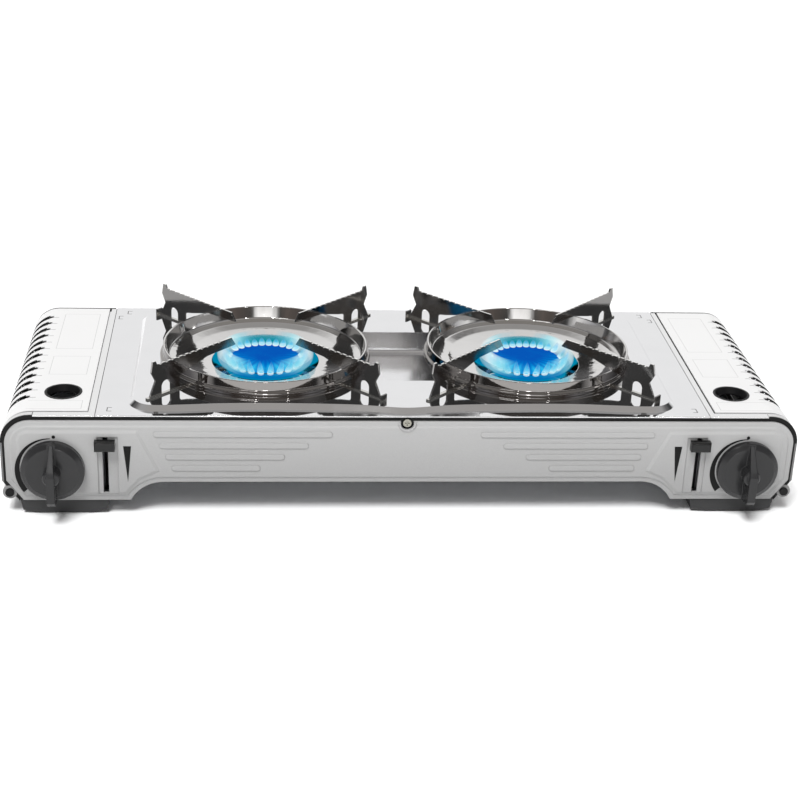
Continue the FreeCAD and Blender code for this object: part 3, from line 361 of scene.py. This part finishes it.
def plate_steel():
    """Mirror-bright top sheet, brushed in the sunken middle, with thin slits near its corners."""
    b = Material("top_sheet")
    shader = b.node("ShaderNodeBsdfPrincipled", Metallic=1.0)
    side_x, y, z = b.math("ABSOLUTE", b.axis("X")), b.axis("Y"), b.axis("Z")
    sunk = b.math("LESS_THAN", z, PLATFORM_Z - TROUGH_BELOW)
    brushed = b.both(sunk, b.math("LESS_THAN", side_x, TROUGH_HALF_X))
    wide = b.noise(b.coords(), *METAL_CLOUDS)
    grain = b.noise(b.coords((1, 0.04, 0.04)), *BRUSHING)
    tone = b.mix(wide, (0.81, 0.81, 0.82), (0.86, 0.86, 0.87))
    for at in SLIT_PLACES:
        bracket = b.both(b.frame_lines(side_x, y, at, SLIT_HALF, SLIT_LINE),
                         b.math("GREATER_THAN", side_x, at[0] - SLIT_OPEN_X))
        tone = b.mix(bracket, tone, grey(0.05))
    b.link(tone, shader.inputs["Base Color"])
    plain = b.spread(wide, 0.03, 0.06)
    rough = b.math("ADD", plain, b.math("MULTIPLY", brushed, b.spread(grain, 0.13, 0.17)))
    b.link(rough, shader.inputs["Roughness"])
    b.link(b.bump(wide, 0.02, 0.00004, 0.0006), shader.inputs["Normal"])
    return b.finish(shader)


def arm_plating():
    """Chrome plating painted in two tones, dark on the upright blades and brighter on the foot strips, with a
    painted highlight on the top edges.
    """
    b = Material("plated_arm")
    shader = b.node("ShaderNodeBsdfPrincipled", Metallic=1.0)
    wide = b.noise(b.coords(), *METAL_CLOUDS)
    fine = b.noise(b.coords(), *METAL_GRAIN)
    strip = b.math("LESS_THAN", b.axis("Z"), FOOT_STRIP_TOP)
    blade = b.mix(wide, (0.32, 0.315, 0.31), (0.38, 0.372, 0.368))
    facing_up = b.math("GREATER_THAN", b.axis("Z", "Normal"), 0.6)
    top_edge_highlight = b.both(facing_up, b.math("GREATER_THAN", b.axis("Z"), ARM_RIDGE_Z))
    # painted light: one plating shown dark on the blades and bright on the foot strips
    tone = b.mix(strip, blade, (0.66, 0.65, 0.62))
    # painted highlight on the upward faces along the top edges
    b.link(b.mix(top_edge_highlight, tone, (0.95, 0.94, 0.92)), shader.inputs["Base Color"])
    b.link(b.spread(wide, 0.05, 0.12), shader.inputs["Roughness"])
    waves = b.math("ADD", b.math("MULTIPLY", wide, 6.0), fine)
    b.link(b.bump(waves, 0.22, 0.0001, 0.0004), shader.inputs["Normal"])
    return b.finish(shader)


def bowl_steel():
    """Polished steel whose uneven drawing makes reflections streak; painted shade darkens its outer side."""
    b = Material("polished_bowl")
    shader = b.node("ShaderNodeBsdfPrincipled", Metallic=1.0)
    wide = b.noise(b.coords(), *METAL_CLOUDS)
    streaks = b.noise(b.coords((1, 1, 0.15)), *DRAWN_STREAKS)
    tone = b.mix(wide, (0.68, 0.67, 0.66), (0.76, 0.75, 0.74))
    x = b.axis("X")
    from_axis_x = b.math("MULTIPLY", b.math("SIGN", x), b.math("SUBTRACT", b.math("ABSOLUTE", x), BURNER_X))
    from_axis_y = b.math("SUBTRACT", b.axis("Y"), BURNER_Y)
    lean = b.math("ADD", b.math("MULTIPLY", from_axis_x, b.axis("X", "Normal")),
                  b.math("MULTIPLY", from_axis_y, b.axis("Y", "Normal")))
    # painted shade: faces turned away from the burner's axis get a darker steel colour
    outer_side_shade = b.math("GREATER_THAN", lean, 0.02)
    b.link(b.mix(outer_side_shade, tone, (0.30, 0.285, 0.275)), shader.inputs["Base Color"])
    b.link(b.spread(wide, 0.03, 0.09), shader.inputs["Roughness"])
    b.link(b.bump(streaks, 0.30, 0.0006), shader.inputs["Normal"])
    return b.finish(shader)


def frame_moulding():
    """Black end frame whose hinge ears, outer rim and lid rest show grey sheet."""
    b = Material("end_frame_moulding")
    side_x, y, z = b.math("ABSOLUTE", b.axis("X")), b.axis("Y"), b.axis("Z")
    from_hinge = [b.math("SUBTRACT", value, at) for value, at in zip((side_x, z), HINGE)]
    squares = [b.math("MULTIPLY", value, value) for value in from_hinge]
    ear = b.math("LESS_THAN", b.math("ADD", *squares), HINGE_EAR_R ** 2)
    rim = b.both(b.math("GREATER_THAN", side_x, FRAME_RIM_X), b.math("LESS_THAN", z, FRAME_RIM_TOP_Z))
    rest = b.between(y, *LID_REST_Y)
    tone = b.mix(rim, grey(0.005), grey(0.16))
    tone = b.mix(ear, tone, grey(0.24))
    tone = b.mix(rest, tone, grey(0.55))
    return b.finish(plastic_shader(b, tone, 0.34, 0.2, 0.15))


BOWL = bowl_steel()
ARM = arm_plating()
SHIELD = metal("shield_sheet", (0.90, 0.90, 0.90), 0.10, 0.05, brushed=(1, 0.05, 1), bump=0.04,
               edge=0.0004)
ZINC = metal("zinc_sheet", (0.42, 0.43, 0.45), 0.34, 0.12, bump=0.12, tint=0.75)
SCREW = metal("screw_plating", (0.40, 0.39, 0.34), 0.22, 0.1, edge=0.0003)
CASTING = metal("die_casting", (0.30, 0.30, 0.31), 0.42, 0.12, bump=0.35, tint=0.85, edge=0.0005)
CAP = metal("burner_cap", (0.20, 0.21, 0.23), 0.40, 0.15, bump=0.3, tint=0.7, edge=0.0004)
PIPE = metal("pipe_steel", (0.60, 0.60, 0.60), 0.25, 0.08)
BRASS = metal("brass", (0.72, 0.50, 0.22), 0.22, 0.1)
BLACK = plastic("black_moulding", (0.006, 0.006, 0.0065), 0.34, 0.2, 0.15)
KNOB = plastic("knob_plastic", (0.020, 0.020, 0.021), 0.19, 0.42, 0.12, edge=0.0012)
TAB = plastic("tab_plastic", (0.006, 0.006, 0.006), 0.16, 0.4, 0.06, edge=0.0010)
FOOT = plastic("foot_plastic", (0.036, 0.036, 0.037), 0.46, 0.3)
# painted shade: near-black steel on the lock slides and lever guides, so the lock slots they sit in look dark
SLOT_SHADE_STEEL = metal("slot_shade_steel", (0.03, 0.03, 0.032), 0.35, 0.1)
INK = plastic("mark_ink", (0.008, 0.008, 0.008), 0.5, 0.15, 0.1, edge=0.0)
CERAMIC = plastic("ceramic", (0.80, 0.78, 0.73), 0.25, grain=0.08)
CASE = plastic("igniter_case", (0.06, 0.06, 0.065), 0.45)
LEAD = plastic("lead_silicone", (0.45, 0.03, 0.02), 0.5, edge=0.0)

LOOKS = {
    "panel_paint": panel_paint(), "lid_paint": lid_paint(), "bright_steel": plate_steel(), "bowl_steel": BOWL,
    "arm_chrome": ARM, "black_moulding": BLACK, "knob_plastic": KNOB, "foot_plastic": FOOT,
    "black_print": INK, "zinc_sheet": ZINC, "shield_steel": SHIELD, "screw_steel": SCREW,
    "regulator_casting": CASTING, "pipe_steel": PIPE, "brass": BRASS, "burner_casting": CASTING,
    "burner_cap_metal": CAP, "ceramic": CERAMIC, "igniter_plastic": CASE, "lead_rubber": LEAD,
}
FRAME_LOOK = frame_moulding()
NODE_LOOKS = {
    "end_frame_front": FRAME_LOOK, "end_frame_rear": FRAME_LOOK, "lock_handle_left": TAB,
    "lock_handle_right": TAB, "lock_slide_left": SLOT_SHADE_STEEL, "lock_slide_right": SLOT_SHADE_STEEL, "lever_guides": SLOT_SHADE_STEEL,
}


def dress_cad_nodes():
    """Every carried-over node gets its own material, or else its slot's."""
    slots = {row["node"]: row["material_slot"] for row in frame["record"]["subparts"]}
    for name, node in frame["nodes"].items():
        node.data.materials.clear()
        node.data.materials.append(NODE_LOOKS.get(name) or LOOKS[slots[name]])


def new_object(name, bm):
    """Scene object from a bmesh."""
    mesh = bpy.data.meshes.new(name)
    bm.to_mesh(mesh)
    bm.free()
    made = bpy.data.objects.new(name, mesh)
    bpy.context.scene.collection.objects.link(made)
    return made


def add_piece(name, bm, material, body):
    """Smooth-shaded piece from a bmesh, riding on a body."""
    bm.normal_update()
    made = new_object(name, bm)
    for polygon in made.data.polygons:
        polygon.use_smooth = True
    made.data.materials.append(material)
    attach(made, body)
    return made


def join_rings(bm, rings, joined=True, closed=True):
    """Faces between neighbouring rings of vertices.

    joined links the last ring to the first, closed links each ring's last vertex to its first.
    """
    for ring, other in zip(rings, rings[1:] + rings[:1] if joined else rings[1:]):
        for k in range(len(ring) if closed else len(ring) - 1):
            m = (k + 1) % len(ring)
            bm.faces.new((ring[k], ring[m], other[m], other[k]))


# ---------------------------------------------------------------- drip bowls
def rounded_profile(points, steps=4):
    """Closed (radius, z) outline in mm whose third value per point is that corner's rounding."""
    outline = []
    for before, here, after in zip(points[-1:] + points[:-1], points, points[1:] + points[:1]):
        corner, start, end = Vector(here[:2]), Vector(before[:2]), Vector(after[:2])
        inward, outward = (start - corner).normalized(), (end - corner).normalized()
        first, last = corner + inward * here[2], corner + outward * here[2]
        for step in range(steps + 1):
            t = step / steps
            outline.append(first * (1 - t) ** 2 + corner * 2 * t * (1 - t) + last * t ** 2)
    return outline


def lathe(profile, x, y, segments):
    """Closed ring swept from a closed (radius, z) outline in metres about a vertical line."""
    bm = bmesh.new()
    rings = []
    for index in range(segments):
        a = 2 * math.pi * index / segments
        rings.append([bm.verts.new((x + p[0] * math.cos(a), y + p[0] * math.sin(a), p[1])) for p in profile])
    join_rings(bm, rings)
    bmesh.ops.recalc_face_normals(bm, faces=bm.faces)
    return bm


def drip_bowls():
    """Finely turned bowls with soft steps, in the place of the plain CAD bowls."""
    seat, rim = PLATFORM_Z / MM, BOWL_RIM_Z / MM
    corners = [(91.4, rim, 0.5), (91.6, seat + 4.4, 1.0), (94.2, seat + 3.2, 1.0), (94.2, seat + 0.05, 0.2),
               (83.8, seat + 0.05, 0.4), (80.4, seat - 0.8, 0.8), (72.0, 92.0, 1.4), (50.0, 89.5, 0.4),
               (48.1, 89.4, 0.1), (48.1, 90.2, 0.4), (50.0, 90.4, 0.8), (71.8, 93.0, 1.6),
               (79.8, seat + 0.6, 1.2), (86.8, seat + 1.5, 1.2), (89.8, rim, 0.6)]    # radius, z, rounding
    outline = [(r * MM, z * MM) for r, z in rounded_profile(corners)]
    for side, sign in SIDES:
        x = sign * BURNER_X
        bm = lathe(outline, x, BURNER_Y, BOWL_SEGMENTS)
        bowl = add_piece("bowl_" + side, bm, BOWL, "pan_support_" + side)
        drill_wall(bowl, x)
        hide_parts("drip_bowl_" + side)


def drill_wall(bowl, x):
    """Small round hole through the bowl's upright wall."""
    bm = bmesh.new()
    bmesh.ops.create_cone(bm, cap_ends=True, segments=24, radius1=DRILL_R * MM, radius2=DRILL_R * MM,
                          depth=DRILL_DEPTH * MM)
    drill = new_object("drill", bm)
    reach = DRILL_REACH * MM
    place = Vector((x + reach * math.cos(DRILL_ANGLE), BURNER_Y + reach * math.sin(DRILL_ANGLE),
                    BOWL_RIM_Z - DRILL_BELOW_RIM * MM))
    turn = Matrix.Rotation(DRILL_ANGLE, 4, "Z") @ Matrix.Rotation(math.radians(90), 4, "Y")
    drill.matrix_world = Matrix.Translation(place) @ turn
    cut = bowl.modifiers.new("hole", "BOOLEAN")
    cut.operation = "DIFFERENCE"
    cut.object = drill
    bpy.context.view_layer.update()
    holed = bpy.data.meshes.new_from_object(bowl.evaluated_get(bpy.context.evaluated_depsgraph_get()))
    bowl.modifiers.remove(cut)
    bowl.data = holed
    bpy.data.objects.remove(drill)


# ---------------------------------------------------------------- flames
def glow(name, *stops, rim_fade=0.0, rim_white=0.0):
    """Burning gas: colour and opacity follow the burn value stored along each flame.

    Each stop is (place, colour, opacity); rim_fade thins a surface seen edge on, rim_white pales it.
    """
    b = Material(name)
    burn = b.node("ShaderNodeAttribute", attribute_name="burn").outputs["Fac"]
    flicker = b.spread(b.noise(b.coords(), *FLICKER), -0.05, 0.05)
    place = b.math("ADD", burn, flicker)
    edge_on = b.node("ShaderNodeLayerWeight", Blend=0.5).outputs["Facing"]
    color = b.ramp(place, *[(at, shade) for at, shade, _ in stops])
    color = b.mix(b.math("MULTIPLY", edge_on, rim_white), color, (0.80, 0.98, 1.0))
    opacity = b.ramp(place, *[(at, grey(share)) for at, _, share in stops])
    opacity = b.math("MULTIPLY", opacity, b.math("POWER", b.math("SUBTRACT", 1.0, edge_on), rim_fade))
    light = b.node("ShaderNodeEmission")
    b.link(color, light.inputs["Color"])
    mixed = b.node("ShaderNodeMixShader")
    b.link(opacity, mixed.inputs[0])
    b.link(b.node("ShaderNodeBsdfTransparent").outputs[0], mixed.inputs[1])
    b.link(light.outputs[0], mixed.inputs[2])
    return b.finish(mixed)


def flame_sheet(x, profile, burn_at, segments=120):
    """Open surface of revolution about a burner from (radius, z) points in mm."""
    bm = bmesh.new()
    layer = bm.verts.layers.float.new("burn")
    rings = []
    for index in range(segments):
        a = 2 * math.pi * index / segments
        ring = []
        for step, (r, z) in enumerate(profile):
            vert = bm.verts.new((x + r * MM * math.cos(a), BURNER_Y + r * MM * math.sin(a), z * MM))
            vert[layer] = burn_at(a, step / (len(profile) - 1))
            ring.append(vert)
        rings.append(ring)
    join_rings(bm, rings, closed=False)
    return bm


def flame_torus(x, ring_sizes, burn_at, segments=96, around=20):
    """Ring-shaped veil of glowing gas round a burner."""
    major, minor, rise, z = ring_sizes
    bm = bmesh.new()
    layer = bm.verts.layers.float.new("burn")
    rings = []
    for index in range(segments):
        a = 2 * math.pi * index / segments
        ring = []
        for k in range(around):
            turn = 2 * math.pi * k / around
            r = (major + minor * math.cos(turn)) * MM
            height = (z + rise * math.sin(turn)) * MM
            ring.append(bm.verts.new((x + r * math.cos(a), BURNER_Y + r * math.sin(a), height)))
            ring[-1][layer] = burn_at(a)
        rings.append(ring)
    join_rings(bm, rings)
    return bm


def flame_jets(x):
    """Ring of teardrop flames leaning outwards from the cap's ports."""
    bm = bmesh.new()
    layer = bm.verts.layers.float.new("burn")
    for index in range(JET_COUNT):
        angle = 2 * math.pi * (index + 0.5) / JET_COUNT
        out = Vector((math.cos(angle), math.sin(angle), 0.0))
        tangent = Vector((-out.y, out.x, 0.0))
        back = max(0.0, out.y)
        shorter = 0.0 if out.y < -0.1 else min(1.0, 0.4 + back)
        height = JET_LONG + (JET_SHORT - JET_LONG) * shorter
        height *= 1.0 + JET_SWAY * math.sin(index * 2.4)
        foot_r = JET_FOOT_R - JET_STEP_IN * back
        foot_z = JET_FOOT_Z + JET_STEP_UP * min(1.0, 3.0 * back)
        rings = []
        for level in range(JET_ALONG + 1):
            t = level / JET_ALONG
            reach = (foot_r + JET_LEAN * (1.0 - 0.8 * back) * math.sin(t * math.pi / 2)) * MM
            middle = Vector((x, BURNER_Y, (foot_z + height * t) * MM)) + out * reach
            # teardrop: swells just above the foot, then closes to a tip
            half = JET_WIDTH * MM * math.sin(math.pi * min(0.985, 0.10 + 0.90 * t ** 0.55)) ** 0.75
            ring = []
            for k in range(JET_AROUND):
                turn = 2 * math.pi * k / JET_AROUND
                aside = tangent * half * math.cos(turn) + out * half * math.sin(turn)
                ring.append(bm.verts.new(middle + aside))
                ring[-1][layer] = t
            rings.append(ring)
        join_rings(bm, rings, joined=False)
    return bm


def core_burn(angle, step):
    """Light streaks behind each front jet, deep blue towards the rear."""
    streak = math.cos(angle * JET_COUNT / 2 + math.pi / 2) ** 2
    front = min(1.0, max(0.0, 0.35 - 0.75 * math.sin(angle)))
    rim = min(1.0, max(0.0, 2.0 * step - 0.35))
    return rim * min(1.0, 1.25 * front) * (0.40 + 0.60 * streak)


def skirt_burn(angle, step):
    """The outer sheet reaches the bowl at the front; the corners in front of it stay open."""
    corner = math.exp(-((math.sin(angle) + 0.44) / 0.24) ** 2)
    return min(1.0, step * (0.80 + 1.1 * corner))


def halo_burn(angle):
    """Densest to the left and right, where the line of sight runs along the ring of jets."""
    return abs(math.cos(angle)) ** 3


def veil_burn(angle):
    """Left, right and behind, open at the front."""
    rear = max(0.0, math.sin(angle))
    return max(abs(math.cos(angle)) ** 5, 0.9 * rear ** 0.5)


def flames():
    """Lit burners: the flames stand on the body, so the bowls lift off over them."""
    jet = glow("flame_jet", (0.0, (0.95, 1.0, 1.0), 1.0), (0.16, (0.80, 0.97, 1.0), 0.95),
               (0.34, (0.16, 0.72, 0.95), 0.62), (0.65, (0.01, 0.45, 0.84), 0.42),
               (1.0, (0.0, 0.30, 0.74), 0.0), rim_fade=0.7, rim_white=0.55)
    skirt = glow("flame_skirt", (0.0, (0.0, 0.20, 0.52), 0.97), (0.40, (0.0, 0.165, 0.46), 0.97),
                 (0.80, (0.0, 0.26, 0.44), 0.92), (1.0, (0.0, 0.20, 0.24), 0.0))
    core = glow("flame_core", (0.0, (0.002, 0.095, 0.48), 1.0), (0.35, (0.0, 0.20, 0.62), 1.0),
                (1.0, (0.02, 0.52, 0.90), 1.0))
    halo = glow("flame_halo", (0.0, (0.05, 0.55, 0.75), 0.0), (0.35, (0.35, 0.85, 0.95), 0.70),
                (0.8, (0.92, 1.0, 1.0), 1.0), rim_fade=1.0)
    veil = glow("flame_veil", (0.0, (0.0, 0.24, 0.36), 0.0), (0.6, (0.0, 0.32, 0.50), 0.75),
                (1.0, (0.0, 0.25, 0.31), 0.92), rim_fade=0.9)
    for side, sign in SIDES:
        x = sign * BURNER_X
        pieces = (
            ("jets", flame_jets(x), jet), ("skirt", flame_sheet(x, SKIRT_PROFILE, skirt_burn), skirt),
            ("core", flame_sheet(x, CORE_PROFILE, core_burn), core),
            ("halo", flame_torus(x, HALO_RING, halo_burn), halo),
            ("veil", flame_torus(x, VEIL_RING, veil_burn), veil),
        )
        for name, bm, material in pieces:
            add_piece("flame_%s_%s" % (name, side), bm, material, "body")


# ---------------------------------------------------------------- light, floor, camera
def world():
    """Surroundings in bright and dark bands, placed so that the steel's front view shows streaks."""
    made = bpy.data.worlds.new("studio")
    bpy.context.scene.world = made
    made.use_nodes = True
    b = Tree(made.node_tree, "ShaderNodeOutputWorld")
    background = b.node("ShaderNodeBackground", Strength=1.0)
    x, y, z = (b.axis(name, "Generated") for name in "XYZ")
    turn = b.math("ARCTAN2", x, b.math("MULTIPLY", y, -1.0))
    around = b.spread(turn, 0.0, 1.0, -math.pi, math.pi)      # 0 and 1 behind, 0.5 on the camera's side
    dark, dim, silver, white, glare = grey(0.05), grey(0.11), (0.40, 0.40, 0.42), grey(0.92), grey(1.5)
    brown, tan, ceiling = (0.12, 0.10, 0.09), (0.24, 0.22, 0.20), (0.13, 0.127, 0.127)
    horizon = b.ramp(around, (0.0, white), (0.12, white), (0.18, dark), (0.25, silver), (0.31, white),
                     (0.345, dark), (0.43, brown), (0.455, dark), (0.478, glare), (0.525, glare),
                     (0.545, dark), (0.60, brown), (0.655, dark), (0.69, white), (0.75, silver),
                     (0.82, dark), (0.88, white), (1.0, white))
    middle = b.ramp(around, (0.0, white), (0.11, white), (0.15, dark), (0.30, dim), (0.36, silver),
                    (0.40, brown), (0.46, tan), (0.54, tan), (0.60, brown), (0.64, silver), (0.70, dim),
                    (0.85, dark), (0.89, white), (1.0, white))
    sky = b.mix(b.spread(z, 0.0, 1.0, *HORIZON_TOP), horizon, middle)
    sideways = b.ramp(around, (0.0, dim), (0.05, dim), (0.09, glare), (0.91, glare), (0.95, dim), (1.0, dim))
    rise = b.spread(z, 0.0, 1.0, *BRIGHT_BACK_TOP)
    sky = b.mix(b.math("MULTIPLY", rise, b.math("MINIMUM", sideways, 1.0)), sky, ceiling)
    sky = b.mix(b.spread(z, 0.0, 1.0, *MIDDLE_TOP), sky, (0.36, 0.355, 0.35))
    sky = b.mix(b.spread(z, 0.0, 1.0, *ZENITH), sky, (0.36, 0.345, 0.33))
    b.link(sky, background.inputs["Color"])
    b.finish(background)


def aim(made, toward):
    """Turn an object's -Z axis along a direction."""
    made.rotation_mode = "QUATERNION"
    made.rotation_quaternion = Vector(toward).to_track_quat("-Z", "Y")


def broad_light():
    """Large soft studio light, far enough away to fall evenly over stove and floor."""
    data = bpy.data.lights.new("broad", "SUN")
    data.energy = SUN_POWER
    data.angle = SUN_SOFTNESS
    made = bpy.data.objects.new("broad", data)
    aim(made, SUN_TOWARD)
    made.visible_glossy = False
    bpy.context.scene.collection.objects.link(made)


def strip_light(name, location, size, power):
    """Softbox facing the stove, for highlights along edges and ridges."""
    data = bpy.data.lights.new(name, "AREA")
    data.shape = "RECTANGLE"
    data.size, data.size_y = size
    data.energy = power
    made = bpy.data.objects.new(name, data)
    made.location = location
    aim(made, -Vector(location))
    bpy.context.scene.collection.objects.link(made)


def floor():
    """White paper under the feet, wide enough to reach the horizon in every view."""
    bm = bmesh.new()
    bmesh.ops.create_grid(bm, x_segments=8, y_segments=8, size=FLOOR_HALF)
    made = new_object("floor", bm)
    made.location.z = FLOOR_Z
    b = Material("floor_paper")
    shader = b.node("ShaderNodeBsdfPrincipled", Roughness=0.9)
    wide = b.noise(b.coords(), *PAPER_CLOUDS)
    b.link(b.mix(wide, (0.94, 0.945, 0.95), (0.955, 0.96, 0.965)), shader.inputs["Base Color"])
    made.data.materials.append(b.finish(shader))


def camera():
    """Long-lens camera in front of the stove, looking down on it."""
    yaw, pitch, roll = CAMERA_YAW, CAMERA_PITCH, CAMERA_ROLL
    ahead = Vector((math.sin(yaw) * math.cos(pitch), math.cos(yaw) * math.cos(pitch), -math.sin(pitch)))
    right = Vector((math.cos(yaw), -math.sin(yaw), 0.0))
    up = right.cross(ahead)
    tilted_right = right * math.cos(roll) + up * math.sin(roll)
    tilted_up = -right * math.sin(roll) + up * math.cos(roll)
    turn = Matrix((tilted_right, tilted_up, -ahead)).transposed().to_4x4()
    data = bpy.data.cameras.new("camera")
    data.sensor_width = SENSOR_WIDTH
    data.lens = LENS
    data.clip_end = CAMERA_REACH
    made = bpy.data.objects.new("camera", data)
    made.matrix_world = Matrix.Translation(CAMERA_PLACE) @ turn
    bpy.context.scene.collection.objects.link(made)
    bpy.context.scene.camera = made


dress_cad_nodes()
drip_bowls()
flames()
world()
floor()
broad_light()
for strip in STRIP_LIGHTS:
    strip_light(*strip)
camera()
bpy.context.scene.view_settings.view_transform = "Standard"
